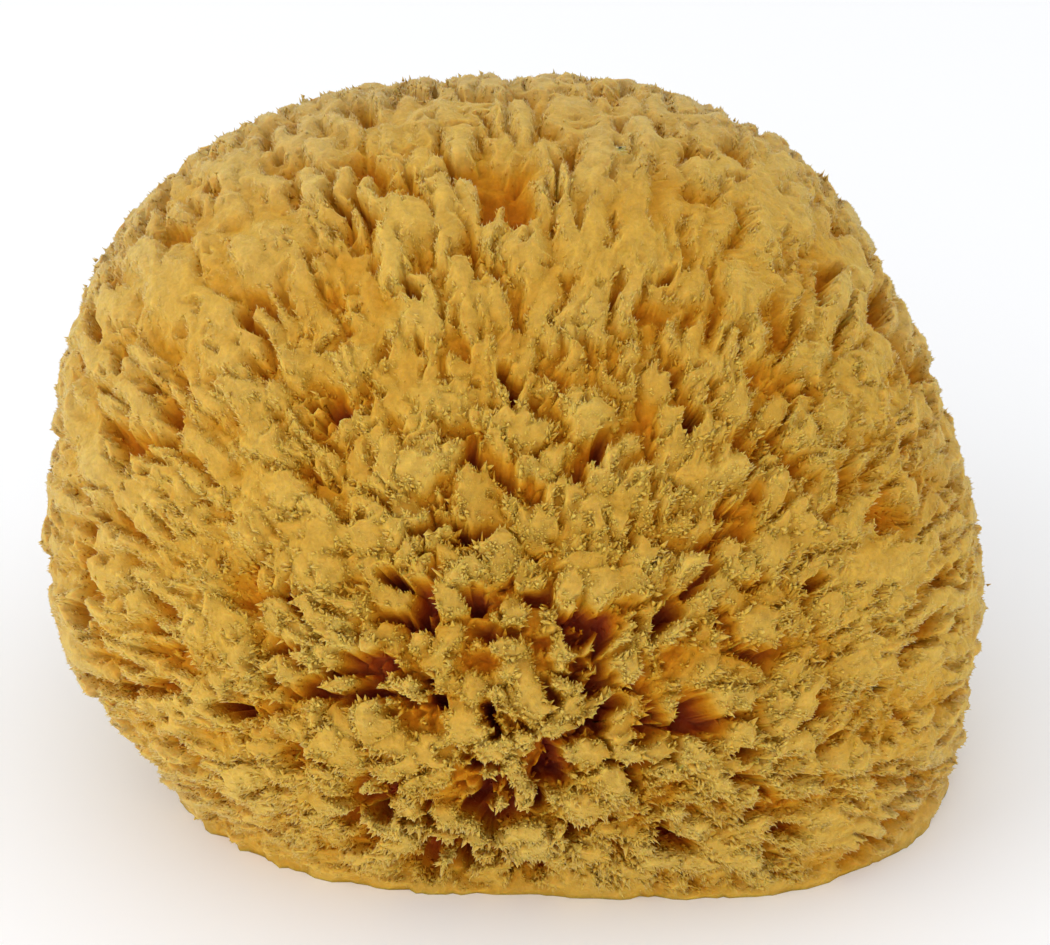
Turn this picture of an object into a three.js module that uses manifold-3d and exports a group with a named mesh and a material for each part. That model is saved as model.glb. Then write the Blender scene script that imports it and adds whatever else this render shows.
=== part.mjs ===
// A natural sea wool sponge: one dome of elastic skeleton, cut off flat where it grew on rock.
// Lengths are millimetres, +Z is up, and the sponge stands on its cut face at z = 0.
// The origin is the growth centre, a point in the cut face that all the tufts and canals run
// towards, and the dome is a radius worked out for each direction from it. Broad tufts stand
// on the dome with furrows between them, and canals open through it: tapered oscules over
// the dome and canal mouths in the cut face.

import * as THREE from "three";
import { mergeVertices } from "three/addons/utils/BufferGeometryUtils.js";
import Module from "manifold-3d";

// Driving dimensions: how far the dome reaches from the growth centre.
const REACH = { right: 103, left: 103, front: 85, back: 88, up: 138 };
const SQUARENESS = 2.55; // 2 is an ellipsoid, and more is boxier
const FOOT_TUCK = { right: 0.05, left: 0.29, front: 0.21, back: 0.12 };
const FOOT_BAND = THREE.MathUtils.degToRad(18);
// Broad swellings and hollows of the dome: direction and spread in degrees, swell as a share.
const LOBES = [
  { azimuth: 20, elevation: 30, spread: 24, swell: -0.055 },
  { azimuth: -42, elevation: 6, spread: 22, swell: 0.04 },
];

// Tufts: how many stand on the dome, and how deep the furrows between them are.
const TUFT_COUNT = 150;
const FURROW_DEPTH = 5.5;
const FURROW_SHARE = 0.72; // the part of a tuft's spacing that a furrow takes
const TUFT_UNEVENNESS = 2.5;
const TUFT_WANDER = 0.7; // how far a tuft strays from its place, as a share of the spacing

// The main oscules wind in a spiral round the heart of the front, and are widest and deepest
// there. Angles are in degrees, and widths and depths in mm.
const HEART = { azimuth: -84, elevation: 26 };
const MAIN_OSCULES = { count: 24, reach: 46, crowding: 0.7, width: 8, depth: 22, lowest: 0.18 };
// The oscules of the other sides, spread evenly and a little unlike each other.
const BACK_OSCULES = { count: 18, width: 8, depth: 22 };
const OSCULE_SIDES = 8;
const OSCULE_CLEARANCE = 6; // how far a cutter starts above the dome

// Canal mouths in the cut face, and the plain middle that the sponge is set down on.
const CANAL_MOUTHS = { count: 30, radius: 3.4, depth: 14, plainRadius: 14, footShare: 0.86 };
const CANAL_SIDES = 7;

const SURFACE_DETAIL = 23; // how finely the dome is faceted
const GOLDEN_ANGLE = Math.PI * (3 - Math.sqrt(5));

/** A repeatable number from 0 to 1 for the whole number i; salt picks one of many series. */
function scatter(i, salt) {
  const wave = Math.sin(i * 12.9898 + salt * 78.233) * 43758.5453;
  return wave - Math.floor(wave);
}

/** The unit vector at an azimuth from +X towards +Y and an elevation above the cut face. */
function direction(azimuth, elevation) {
  const flat = Math.cos(elevation);
  return new THREE.Vector3(
    flat * Math.cos(azimuth),
    flat * Math.sin(azimuth),
    Math.sin(elevation),
  );
}

function directionInDegrees(azimuth, elevation) {
  const { degToRad } = THREE.MathUtils;
  return direction(degToRad(azimuth), degToRad(elevation));
}

/** Direction number i of count, spread evenly over the upper half of a ball. */
function sunflowerDirection(i, count, wander, salt) {
  const spacing = Math.sqrt((2 * Math.PI) / count) * wander;
  const rise = (i + 0.5) / count + (scatter(i, salt) - 0.5) * spacing;
  const elevation = Math.asin(THREE.MathUtils.clamp(rise, 0, 1));
  const turn = ((scatter(i, salt + 1) - 0.5) * spacing) / Math.max(Math.cos(elevation), 0.2);
  return direction(i * GOLDEN_ANGLE + turn, elevation);
}

const lobes = LOBES.map(({ azimuth, elevation, spread, swell }) => ({
  centre: directionInDegrees(azimuth, elevation),
  spread: THREE.MathUtils.degToRad(spread),
  swell,
}));

/** How far the dome's smooth outside is from the growth centre in this direction. */
function domeRadius(d) {
  const reachX = d.x > 0 ? REACH.right : REACH.left;
  const reachY = d.y > 0 ? REACH.back : REACH.front;
  const sum =
    (Math.abs(d.x) / reachX) ** SQUARENESS +
    (Math.abs(d.y) / reachY) ** SQUARENESS +
    (Math.abs(d.z) / REACH.up) ** SQUARENESS;
  const flat = Math.max(Math.hypot(d.x, d.y), 1e-9);
  const tuck =
    (FOOT_TUCK.right * Math.max(d.x, 0) ** 2 +
      FOOT_TUCK.left * Math.min(d.x, 0) ** 2 +
      FOOT_TUCK.back * Math.max(d.y, 0) ** 2 +
      FOOT_TUCK.front * Math.min(d.y, 0) ** 2) /
    flat ** 2;
  const elevation = Math.asin(THREE.MathUtils.clamp(d.z, -1, 1));
  const foot = 1 - tuck * Math.exp(-((elevation / FOOT_BAND) ** 2));
  const swell = lobes.reduce(
    (share, lobe) => share * (1 + lobe.swell * Math.exp(-((d.angleTo(lobe.centre) / lobe.spread) ** 2))),
    1,
  );
  return sum ** (-1 / SQUARENESS) * foot * swell;
}

const tufts = Array.from({ length: TUFT_COUNT }, (_, i) => ({
  centre: sunflowerDirection(i, TUFT_COUNT, TUFT_WANDER, 1),
  lift: (scatter(i, 3) - 0.5) * TUFT_UNEVENNESS,
}));
const TUFT_SPACING = Math.sqrt((2 * Math.PI) / TUFT_COUNT);

/** The tufts' relief: each tuft's own lift, less a furrow halfway to the next tuft. */
function tuftRelief(d) {
  let nearest = tufts[0];
  let first = Infinity;
  let second = Infinity;
  for (const tuft of tufts) {
    const angle = d.angleTo(tuft.centre);
    if (angle < first) {
      second = first;
      first = angle;
      nearest = tuft;
    } else if (angle < second) {
      second = angle;
    }
  }
  const fromFurrow = (second - first) / (TUFT_SPACING * FURROW_SHARE);
  const closing = 1 - THREE.MathUtils.smoothstep(fromFurrow, 0, 1);
  return nearest.lift * (1 - closing) - FURROW_DEPTH * closing;
}

const wasm = await Module();
wasm.setup();

/** A closed three.js geometry as a manifold-3d solid. */
function solidFrom(geometry) {
  const bare = geometry.clone();
  bare.deleteAttribute("normal");
  bare.deleteAttribute("uv");
  const merged = mergeVertices(bare, 1e-4);
  return new wasm.Manifold(
    new wasm.Mesh({
      numProp: 3,
      vertProperties: merged.getAttribute("position").array,
      triVerts: new Uint32Array(merged.index.array),
    }),
  );
}

/** A manifold-3d solid as a three.js geometry. */
function geometryFrom(solid) {
  const mesh = solid.getMesh();
  const positions = new Float32Array(mesh.numVert * 3);
  for (let i = 0; i < mesh.numVert; i++) {
    positions.set(mesh.vertProperties.subarray(i * mesh.numProp, i * mesh.numProp + 3), i * 3);
  }
  const geometry = new THREE.BufferGeometry();
  geometry.setAttribute("position", new THREE.BufferAttribute(positions, 3));
  geometry.setIndex(new THREE.BufferAttribute(mesh.triVerts, 1));
  geometry.computeVertexNormals();
  return geometry;
}

/** The whole tufted dome, which goes on below z = 0 until it is cut off there. */
function tuftedDome() {
  const ball = new THREE.IcosahedronGeometry(1, SURFACE_DETAIL);
  const position = ball.getAttribute("position");
  const d = new THREE.Vector3();
  for (let i = 0; i < position.count; i++) {
    d.fromBufferAttribute(position, i).normalize();
    const radius = domeRadius(d) + tuftRelief(d);
    position.setXYZ(i, d.x * radius, d.y * radius, d.z * radius);
  }
  return solidFrom(ball);
}

/** A cutter that narrows along -Z to a rounded end: its mouth is at z = clearance. */
function taperedCutter(radius, depth, clearance, sides) {
  const profile = [
    new THREE.Vector2(0, -depth),
    new THREE.Vector2(radius * 0.65, -depth * 0.75),
    new THREE.Vector2(radius, 0),
    new THREE.Vector2(radius, clearance),
    new THREE.Vector2(0, clearance),
  ];
  return new THREE.LatheGeometry(profile, sides).rotateX(Math.PI / 2);
}

/** A cutter for an oscule that runs from the dome towards the growth centre. */
function osculeCutter({ centre, width, stretch, depth }) {
  const cutter = taperedCutter(width / 2, depth, OSCULE_CLEARANCE, OSCULE_SIDES);
  cutter.scale(1, stretch, 1);
  const upSlope = new THREE.Vector3(0, 0, 1).addScaledVector(centre, -centre.z).normalize();
  const across = new THREE.Vector3().crossVectors(upSlope, centre);
  const place = new THREE.Matrix4().makeBasis(across, upSlope, centre);
  place.setPosition(centre.clone().multiplyScalar(domeRadius(centre)));
  return solidFrom(cutter.applyMatrix4(place));
}

/** Oscules a golden angle apart round the heart, crowded near it and off the foot. */
function mainOscules() {
  const { count, reach, crowding, width, depth, lowest } = MAIN_OSCULES;
  const heart = directionInDegrees(HEART.azimuth, HEART.elevation);
  const upSlope = new THREE.Vector3(0, 0, 1).addScaledVector(heart, -heart.z).normalize();
  const all = Array.from({ length: count }, (_, i) => {
    const outward = ((i + 0.5) / count) ** crowding;
    const way = upSlope.clone().applyAxisAngle(heart, i * GOLDEN_ANGLE);
    const apart = THREE.MathUtils.degToRad(reach * outward);
    const centre = heart.clone().multiplyScalar(Math.cos(apart));
    return {
      centre: centre.addScaledVector(way, Math.sin(apart)),
      width: width * (1.1 - 0.4 * outward) * (0.8 + 0.3 * scatter(i, 14)),
      stretch: 0.8 + 0.9 * scatter(i, 15),
      depth: depth * (1.2 - 0.4 * outward) * (0.8 + 0.3 * scatter(i, 16)),
    };
  });
  return all.filter(({ centre }) => centre.z > lowest);
}

/** Oscules on the crown, flanks and back, away from the front where the main ones are. */
function backOscules() {
  const { count, width, depth } = BACK_OSCULES;
  const all = Array.from({ length: count * 2 }, (_, i) => ({
    centre: sunflowerDirection(i, count * 2, 0.5, 5),
    width: width * (0.75 + 0.5 * scatter(i, 7)),
    stretch: 0.8 + 0.8 * scatter(i, 8),
    depth: depth * (0.7 + 0.6 * scatter(i, 9)),
  }));
  return all.filter(({ centre }) => centre.y > -0.25 && centre.z > 0.15).slice(0, count);
}

/** Cutters for the canal mouths in the cut face, outside its plain middle. */
function canalCutters() {
  const { count, radius, depth, plainRadius, footShare } = CANAL_MOUTHS;
  return Array.from({ length: count }, (_, i) => {
    const azimuth = i * GOLDEN_ANGLE;
    const foot = domeRadius(direction(azimuth, 0)) * footShare;
    const outward = plainRadius + (foot - plainRadius) * Math.sqrt((i + 0.5) / count);
    const mouth = radius * (0.6 + 0.8 * scatter(i, 11));
    const cutter = taperedCutter(mouth, depth * (0.6 + 0.6 * scatter(i, 12)), 1, CANAL_SIDES);
    cutter.rotateX(Math.PI);
    cutter.translate(outward * Math.cos(azimuth), outward * Math.sin(azimuth), 0);
    return solidFrom(cutter);
  });
}

/** Everything below the cut face. */
function belowTheCut() {
  const side = 4 * REACH.up;
  return solidFrom(new THREE.BoxGeometry(side, side, side).translate(0, 0, -side / 2));
}

function spongeGeometry() {
  const oscules = [...mainOscules(), ...backOscules()].map(osculeCutter);
  const cutters = [...oscules, ...canalCutters(), belowTheCut()];
  const solid = tuftedDome().subtract(wasm.Manifold.union(cutters));
  return geometryFrom(solid);
}

const spongeMaterial = new THREE.MeshStandardMaterial({
  color: new THREE.Color().setRGB(0.78, 0.6, 0.28, THREE.SRGBColorSpace),
  roughness: 0.95,
  metalness: 0,
});

const sponge = new THREE.Mesh(spongeGeometry(), spongeMaterial);
sponge.name = "sponge";

const seaSponge = new THREE.Group();
seaSponge.add(sponge);

export default seaSponge;
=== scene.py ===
"""A natural sea wool sponge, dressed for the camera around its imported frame.

The sponge is one grown body. Its outside is a radius for each direction from the growth
centre, less a depth worked out from cell noise: tufts stand between furrows, furrows meet
in holes, and oscules open through them. Fibre tips stand on the tufts as fine spikes.
Lengths are millimetres until a mesh is made, and metres from there on.
"""

import logging
from dataclasses import dataclass, field
from enum import IntEnum

import bmesh
import bpy
import numpy as np
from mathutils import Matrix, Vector


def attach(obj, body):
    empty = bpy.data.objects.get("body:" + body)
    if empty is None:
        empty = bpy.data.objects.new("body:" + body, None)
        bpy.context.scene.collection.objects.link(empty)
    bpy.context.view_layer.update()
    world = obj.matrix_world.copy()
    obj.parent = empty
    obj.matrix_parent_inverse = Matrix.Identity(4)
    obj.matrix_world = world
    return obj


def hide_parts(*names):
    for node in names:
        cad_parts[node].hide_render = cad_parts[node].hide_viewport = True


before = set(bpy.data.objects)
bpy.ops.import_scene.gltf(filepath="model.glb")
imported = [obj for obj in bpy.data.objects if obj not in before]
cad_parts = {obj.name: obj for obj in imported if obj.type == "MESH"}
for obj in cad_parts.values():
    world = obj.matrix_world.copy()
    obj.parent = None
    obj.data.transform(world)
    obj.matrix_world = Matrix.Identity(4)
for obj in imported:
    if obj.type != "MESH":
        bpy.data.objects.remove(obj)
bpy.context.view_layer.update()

LOG = logging.getLogger("sea_sponge")
MM = 0.001
NODE = "sponge"
BODY = "root"
Band = tuple[float, float]
Colour = tuple[float, float, float]
GOLDEN_ANGLE = np.pi * (3 - np.sqrt(5))


# --- Noise and small helpers -----------------------------------------------------------


class Series(IntEnum):
    """The number that each use of noise begins at. Vectors and cells take three in a row."""

    STRAY_BROAD = 11
    STRAY_MIDDLE = 21
    STRAY_FINE = 24
    CLOD = 39
    STAND = 45
    STREAK = 47
    TUFT = 51
    FURROW_OPEN = 53
    BUSY = 55
    FURROW_BED = 57
    LOW_TUFT = 58
    HOLE = 59
    SWAY = 61
    FRAY_BROAD = 63
    FRAY_FINE = 65
    BLEACH_AND_PAINTED_LIGHT = 67
    BORDER = 69
    CANAL_MOUTH = 71
    CANAL = 75
    PORE = 81
    SMALL_CANAL = 85
    CLUMP = 91
    CLUMP_LENGTH = 97
    LOCK = 101
    COMB_OPEN = 103
    COMB_FINE = 105
    COMB_HOLE = 107


def unit(vectors: np.ndarray) -> np.ndarray:
    """The vectors, each divided by its length."""
    return vectors / np.maximum(np.linalg.norm(vectors, axis=-1, keepdims=True), 1e-12)


def smoothstep(low: float, high: float, x: np.ndarray) -> np.ndarray:
    """0 below low, 1 above high, and the cubic 3t^2 - 2t^3 between them."""
    t = np.clip((x - low) / (high - low), 0, 1)
    return t * t * (3 - 2 * t)


def direction(azimuth: np.ndarray, elevation: np.ndarray) -> np.ndarray:
    """The unit vector at an azimuth from +X towards +Y and an elevation, in degrees."""
    az, el = np.radians(azimuth), np.radians(elevation)
    return np.stack([np.cos(el) * np.cos(az), np.cos(el) * np.sin(az), np.sin(el)], -1)


def hashed(cells: np.ndarray, salt: int) -> np.ndarray:
    """A repeatable number from 0 to 1 for each whole-number cell.

    Args:
        cells: whole numbers, shape (..., 3).
        salt: picks one of many series.

    Returns:
        Numbers of shape (...), by mixing the three whole numbers' bits.
    """
    c = cells.astype(np.int64).astype(np.uint32)
    h = c[..., 0] * np.uint32(0x8DA6B343)
    h ^= c[..., 1] * np.uint32(0xD8163841)
    h ^= c[..., 2] * np.uint32(0xCB1AB31F)
    h ^= np.uint32((salt * 0x9E3779B9 + 0x85EBCA6B) & 0xFFFFFFFF)
    h ^= h >> np.uint32(16)
    h *= np.uint32(0x7FEB352D)
    h ^= h >> np.uint32(15)
    h *= np.uint32(0x846CA68B)
    h ^= h >> np.uint32(16)
    return h.astype(np.float64) / 2**32


def noise(points: np.ndarray, wavelength: float, salt: int) -> np.ndarray:
    """Smooth noise from -1 to 1: hashed numbers at lattice corners, blended by a quintic.

    Args:
        points: places, shape (..., 3).
        wavelength: the lattice's spacing, in the points' units.
        salt: picks one of many series.

    Returns:
        Numbers of shape (...).
    """
    scaled = points / wavelength
    base = np.floor(scaled)
    t = scaled - base
    t = t * t * t * (t * (t * 6 - 15) + 10)
    total = np.zeros(points.shape[:-1])
    for corner in np.ndindex(2, 2, 2):
        share = np.prod(np.where(corner, t, 1 - t), axis=-1)
        total += share * hashed(base + corner, salt)
    return total * 2 - 1


def vector_noise(points: np.ndarray, wavelength: float, salt: int) -> np.ndarray:
    """Three series of smooth noise as a vector for each point."""
    return np.stack([noise(points, wavelength, salt + i) for i in range(3)], -1)


@dataclass(frozen=True)
class Wave:
    """A layer of noise: its strength, its wavelength in mm and its series."""

    strength: float
    length: float
    series: Series

    def at(self, place: np.ndarray) -> np.ndarray:
        """The noise at places, from minus to plus the strength."""
        return self.strength * noise(place, self.length, self.series)

    def push(self, place: np.ndarray) -> np.ndarray:
        """A vector of three such series at places."""
        return self.strength * vector_noise(place, self.length, self.series)


@dataclass
class Cells:
    """Cell noise at some points: distances to the three nearest seeds, and the nearest."""

    first: np.ndarray
    second: np.ndarray
    third: np.ndarray
    seed: np.ndarray
    cell: np.ndarray

    @property
    def from_edge(self) -> np.ndarray:
        """How far a point is from the wall between its cell and the next."""
        return (self.second - self.first) / 2

    @property
    def from_corner(self) -> np.ndarray:
        """How far a point is from where three cells meet."""
        return (self.third - self.first) / 2


def cells(points: np.ndarray, size: float, salt: int, stray: float = 0.9) -> Cells:
    """Cell noise: one seed in each lattice cube, strayed from the cube's middle.

    Args:
        points: places, shape (n, 3).
        size: the lattice's spacing, in the points' units.
        salt: picks one of many series.
        stray: how far seeds stray, as a share of the cube.

    Returns:
        The distances to the nearest three seeds, in the points' units.
    """
    scaled = points / size
    home = np.floor(scaled)
    count = len(points)
    first, second, third = (np.full(count, 1e9) for _ in range(3))
    seed = np.zeros((count, 3))
    cell = np.zeros((count, 3))
    for step in np.ndindex(3, 3, 3):
        cube = home + (np.array(step) - 1)
        place = np.stack([hashed(cube, salt + i) for i in range(3)], -1)
        place = cube + 0.5 + (place - 0.5) * stray
        gap = np.linalg.norm(scaled - place, axis=-1)
        nearer = gap < first
        third = np.where(nearer, second, np.where(gap < second, second, np.minimum(third, gap)))
        second = np.where(nearer, first, np.minimum(second, gap))
        first = np.where(nearer, gap, first)
        seed[nearer] = place[nearer]
        cell[nearer] = cube[nearer]
    return Cells(first * size, second * size, third * size, seed * size, cell)


# --- The sponge's form ------------------------------------------------------------------


@dataclass(frozen=True)
class Opening:
    """An oscule: an opening that runs in towards the growth centre.

    azimuth, elevation: where it opens, in degrees.
    width, length: its mouth across and along, in mm.
    lean: how far its length turns clockwise from straight up the slope, in degrees.
    depth: how deep it goes, in mm.
    """

    azimuth: float
    elevation: float
    width: float
    length: float
    lean: float = 0.0
    depth: float = 16.0


@dataclass(frozen=True)
class Heart:
    """A place that tufts stand open round: its direction in degrees, and its spread."""

    azimuth: float
    elevation: float
    spread: float

    def way(self) -> np.ndarray:
        """The unit vector towards the heart."""
        return direction(self.azimuth, self.elevation)

    def apart(self, place: np.ndarray) -> np.ndarray:
        """The angle in degrees between places and the heart, shrunk by its spread."""
        along = unit(place) @ self.way()
        return np.degrees(np.arccos(np.clip(along, -1, 1))) / self.spread


FRONT_HEART = Heart(-84, 26, 1.0)
FAR_HEARTS = (Heart(104, 38, 0.8), Heart(42, 36, 0.6), Heart(152, 38, 0.55), Heart(88, 64, 0.42))


@dataclass(frozen=True)
class OpeningSpiral:
    """Openings in a spiral round the front heart, crowded, wider and deeper near it.

    Angles are in degrees and sizes in mm. A pair holds the least and the most.
    """

    count: int = 84
    reach: float = 70.0
    crowding: float = 0.72
    wander: float = 7.0
    swing: float = 0.5
    lowest: float = 7.0
    near: float = 30.0
    width: Band = (2.6, 6.2)
    stretch: Band = (0.9, 2.6)
    depth: Band = (8.0, 26.0)
    seed: int = 3

    def openings(self) -> tuple[Opening, ...]:
        """Works out the openings.

        Each lies a golden angle round the heart from the one before, farther off by a
        power of its number, and is moved a little at random. Its length lies along the
        great circle away from the heart. Those under the lowest elevation are left out.

        Returns:
            The openings, from the heart outwards.
        """
        draw = np.random.default_rng(self.seed).random((5, self.count))
        number = np.arange(self.count)
        share = ((number + 0.5) / self.count) ** self.crowding
        angle = self.reach * share + self.wander * (draw[0] - 0.5)
        apart = np.radians(angle)[:, None]
        turn = (number * GOLDEN_ANGLE + self.swing * (draw[1] - 0.5))[:, None]
        heart = FRONT_HEART.way()
        upright = np.array([0.0, 0.0, 1.0])
        up = unit(upright - heart * heart[2])
        way = np.cos(turn) * up + np.sin(turn) * np.cross(up, heart)
        centre = np.cos(apart) * heart + np.sin(apart) * way
        away = np.cos(apart) * way - np.sin(apart) * heart
        up = unit(upright - centre * centre[:, 2:])
        across = np.cross(up, centre)
        lean = np.degrees(np.arctan2((away * across).sum(1), (away * up).sum(1)))
        azimuth = np.degrees(np.arctan2(centre[:, 1], centre[:, 0]))
        elevation = np.degrees(np.arcsin(centre[:, 2]))
        near = np.exp(-((angle / self.near) ** 2))
        width = self.width[0] + np.ptp(self.width) * (near + draw[2]) / 2
        length = width * (self.stretch[0] + np.ptp(self.stretch) * draw[3])
        depth = self.depth[0] + np.ptp(self.depth) * (near + draw[4]) / 2
        rows = np.stack([azimuth, elevation, width, length, lean, depth], -1)
        return tuple(Opening(*row) for row in rows[elevation > self.lowest].tolist())


FRONT_OPENINGS = OpeningSpiral().openings()


@dataclass(frozen=True)
class Lobe:
    """A broad swelling of the dome: direction and spread in degrees, swell as a share."""

    azimuth: float
    elevation: float
    spread: float
    swell: float


@dataclass(frozen=True)
class DomeForm:
    """The smooth outside of the sponge: a radius for each direction from the origin."""

    right: float = 103.0
    left: float = 103.0
    front: float = 85.0
    back: float = 88.0
    up: float = 139.0
    squareness: float = 2.55
    tuck_right: float = 0.05
    tuck_left: float = 0.275
    tuck_front: float = 0.185
    tuck_back: float = 0.12
    foot_band: float = np.radians(18)
    lobes: tuple[Lobe, ...] = (
        Lobe(20, 32, 24, -0.052),
        Lobe(-42, 6, 22, 0.052),
        Lobe(186, 31, 10, -0.036),
        Lobe(188, 18, 14, -0.014),
        Lobe(184, 57, 15, 0.022),
        Lobe(-8, 72, 12, 0.018),
    )

    def radius(self, d: np.ndarray) -> np.ndarray:
        """A superellipsoid's radius, drawn in at the foot and swollen at its lobes.

        Args:
            d: unit vectors, shape (..., 3).

        Returns:
            The radius in mm, shape (...).
        """
        x, y, z = d[..., 0], d[..., 1], d[..., 2]
        reach_x = np.where(x > 0, self.right, self.left)
        reach_y = np.where(y > 0, self.back, self.front)
        total = (
            np.abs(x / reach_x) ** self.squareness
            + np.abs(y / reach_y) ** self.squareness
            + np.abs(z / self.up) ** self.squareness
        )
        tuck = (
            self.tuck_right * np.maximum(x, 0) ** 2
            + self.tuck_left * np.minimum(x, 0) ** 2
            + self.tuck_back * np.maximum(y, 0) ** 2
            + self.tuck_front * np.minimum(y, 0) ** 2
        ) / np.maximum(x * x + y * y, 1e-12)
        rise = np.arcsin(np.clip(z, -1, 1))
        share = 1 - tuck * np.exp(-((rise / self.foot_band) ** 2))
        for lobe in self.lobes:
            centre = direction(lobe.azimuth, lobe.elevation)
            angle = np.degrees(np.arccos(np.clip(d @ centre, -1, 1)))
            share = share * (1 + lobe.swell * np.exp(-((angle / lobe.spread) ** 2)))
        return total ** (-1 / self.squareness) * share


@dataclass(frozen=True)
class TuftForm:
    """The relief on the dome. Sizes are in mm."""

    tuft: float = 7.8
    stray_broad: Wave = Wave(2.6, 7.5, Series.STRAY_BROAD)
    stray_middle: Wave = Wave(1.1, 2.8, Series.STRAY_MIDDLE)
    stray_fine: Wave = Wave(0.9, 1.6, Series.STRAY_FINE)
    upright_band: Band = (50.0, 27.0)
    border: Wave = Wave(7.0, 12.0, Series.BORDER)
    comb_stray: float = 0.5
    lock_width: float = 2.7
    ray_reach: float = 60.0
    ray_length: float = 1.5
    ray_stretch: float = 4.6
    back_turn: float = 1.35
    back_rate: float = 0.4
    comb_calm: float = 0.45
    comb_wide: float = 0.75
    comb_deep: float = 2.1
    comb_far: Band = (50.0, 80.0)
    comb_open: Wave = Wave(1.0, 5.0, Series.COMB_OPEN)
    comb_open_band: Band = (-0.5, 0.4)
    comb_fine: float = 1.1
    comb_fine_length: float = 1.5
    comb_fine_band: Band = (0.1, 0.7)
    comb_crown: float = 0.35
    comb_hole: float = 5.0
    comb_hole_edge: Band = (0.3, 1.2)
    comb_hole_length: float = 9.0
    comb_hole_band: Band = (0.1, 0.5)
    furrow_narrow: float = 0.6
    furrow_wide: float = 1.45
    furrow_shallow: float = 1.2
    furrow_deep: float = 4.2
    furrow_edge: Band = (0.2, 1.0)
    bed_change: Wave = Wave(0.35, 9.0, Series.FURROW_BED)
    open_length: float = 5.5
    open_band: Band = (-0.45, 0.25)
    hole_depth: float = 10.0
    hole_edge: Band = (0.6, 1.5)
    hole_length: float = 8.0
    hole_band: Band = (-0.3, 0.3)
    low_tuft: float = 3.0
    crown: float = 2.0
    clod: Wave = Wave(0.4, 3.2, Series.CLOD)
    calm: float = 0.25
    rough_band: Band = (75.0, 35.0)
    streak: float = 3.4
    streak_reach: float = 4.0
    streak_steps: int = 7
    streak_length: float = 2.2
    streak_band: Band = (0.08, 0.36)
    streak_stray: float = 0.6
    stand: float = 1.2
    stand_length: float = 16.0
    busy_change: Wave = Wave(0.7, 14.0, Series.BUSY)
    busy_band: Band = (-0.6, 0.75)
    heart_rise: float = 1.1
    heart_spread: float = 34.0
    heart_floor: float = 0.55
    # Paler away from the front heart: partly sun-bleach, partly painted light.
    bleach_and_painted_light_change: Wave = Wave(8.0, 20.0, Series.BLEACH_AND_PAINTED_LIGHT)
    bleach_and_painted_light_band: Band = (35.0, 95.0)
    opening_stray: float = 0.9
    opening_edge: Band = (0.35, 1.15)
    rim_depth: float = 0.8
    rim_broad: Wave = Wave(0.7, 4.0, Series.FRAY_BROAD)
    rim_fine: Wave = Wave(0.3, 1.6, Series.FRAY_FINE)
    rim_band: Band = (0.3, 5.0)

    def relief(self, d: np.ndarray, dome: DomeForm) -> np.ndarray:
        """How deep the surface lies under the dome in each direction, in mm.

        Round the heart, tufts are wandering cells with crowned tops, and furrows follow
        their walls and deepen where three meet. Farther off, tufts lie combed away from
        the heart. Openings are bowls with wandering edges, noise makes clods, and the rim
        is a low frayed band.

        Args:
            d: unit vectors, shape (n, 3).
            dome: the smooth outside.

        Returns:
            Depths, shape (n,), where less than 0 stands above the dome.
        """
        place = d * dome.radius(d)[:, None]
        strayed = place + self.stray_broad.push(place)
        strayed += self.stray_middle.push(place)
        strayed += self.stray_fine.push(place)
        busy = self.busy(place)
        combed = self.combed(place + self.comb_stray * (strayed - place))
        apart = self.apart(place)
        rough = self.calm + (1 - self.calm) * smoothstep(*self.rough_band, apart)
        combed *= 1 - self.comb_calm * smoothstep(*self.comb_far, apart)
        upright = smoothstep(*self.upright_band, apart + self.border.at(place))
        depth = combed + (self.furrow(strayed, busy) - combed) * upright
        depth = np.maximum(depth, self.openings(d, strayed - place, dome))
        depth += self.clod.at(strayed) * rough
        drawn = self.streaks(place + self.streak_stray * (strayed - place))
        depth += self.streak * drawn * (1 - 0.75 * busy) * rough
        depth -= self.stand * (0.5 + 0.5 * noise(place, self.stand_length, Series.STAND))
        frayed = self.rim_depth + self.rim_broad.at(place) + self.rim_fine.at(place)
        above = smoothstep(*self.rim_band, place[:, 2])
        return frayed + (depth - frayed) * above

    def rays(self, place: np.ndarray) -> np.ndarray:
        """Places laid out by rays: the turn round the heart's axis, and the way along one.

        Widths are true at ray_reach mm from the axis. Lengths shrink ray_stretch times, and
        less than that past back_turn, the angle in radians where the back begins.

        Args:
            place: places in mm, shape (n, 3).

        Returns:
            The places laid out by rays, shape (n, 3).
        """
        axis = FRONT_HEART.way()
        along = place @ axis
        across = place - along[:, None] * axis
        off = np.linalg.norm(across, axis=1)
        angle = np.arctan2(off, along)
        way = angle / self.ray_stretch + self.back_rate * np.maximum(angle - self.back_turn, 0)
        turned = across / np.maximum(off, 1e-6)[:, None]
        return self.ray_reach * (turned + self.ray_length * way[:, None] * axis)

    def combed(self, place: np.ndarray) -> np.ndarray:
        """The depth between long tufts that lie combed away from the heart.

        The tufts are cells of the places laid out by rays. Their walls sink where noise
        opens them, fine noise grooves their tops, and some corners sink into holes.

        Args:
            place: wandered places in mm, shape (n, 3).

        Returns:
            Depths in mm, shape (n,).
        """
        rays = self.rays(place)
        locks = cells(rays, self.lock_width, Series.LOCK)
        opened = smoothstep(*self.comb_open_band, self.comb_open.at(rays))
        width = self.comb_wide * (0.5 + 0.5 * opened)
        between = 1 - smoothstep(0.0, 1.0, locks.from_edge / width)
        depth = between * self.comb_deep * (0.15 + 0.85 * opened)
        grooves = noise(rays, self.comb_fine_length, Series.COMB_FINE)
        depth += self.comb_fine * smoothstep(*self.comb_fine_band, grooves) * (0.3 + 0.7 * opened)
        depth += self.comb_crown * (locks.first / (0.6 * self.lock_width)) ** 2
        hole = 1 - smoothstep(*self.comb_hole_edge, locks.from_corner / width)
        chance = noise(place, self.comb_hole_length, Series.COMB_HOLE)
        return depth + self.comb_hole * hole * smoothstep(*self.comb_hole_band, chance)

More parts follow.
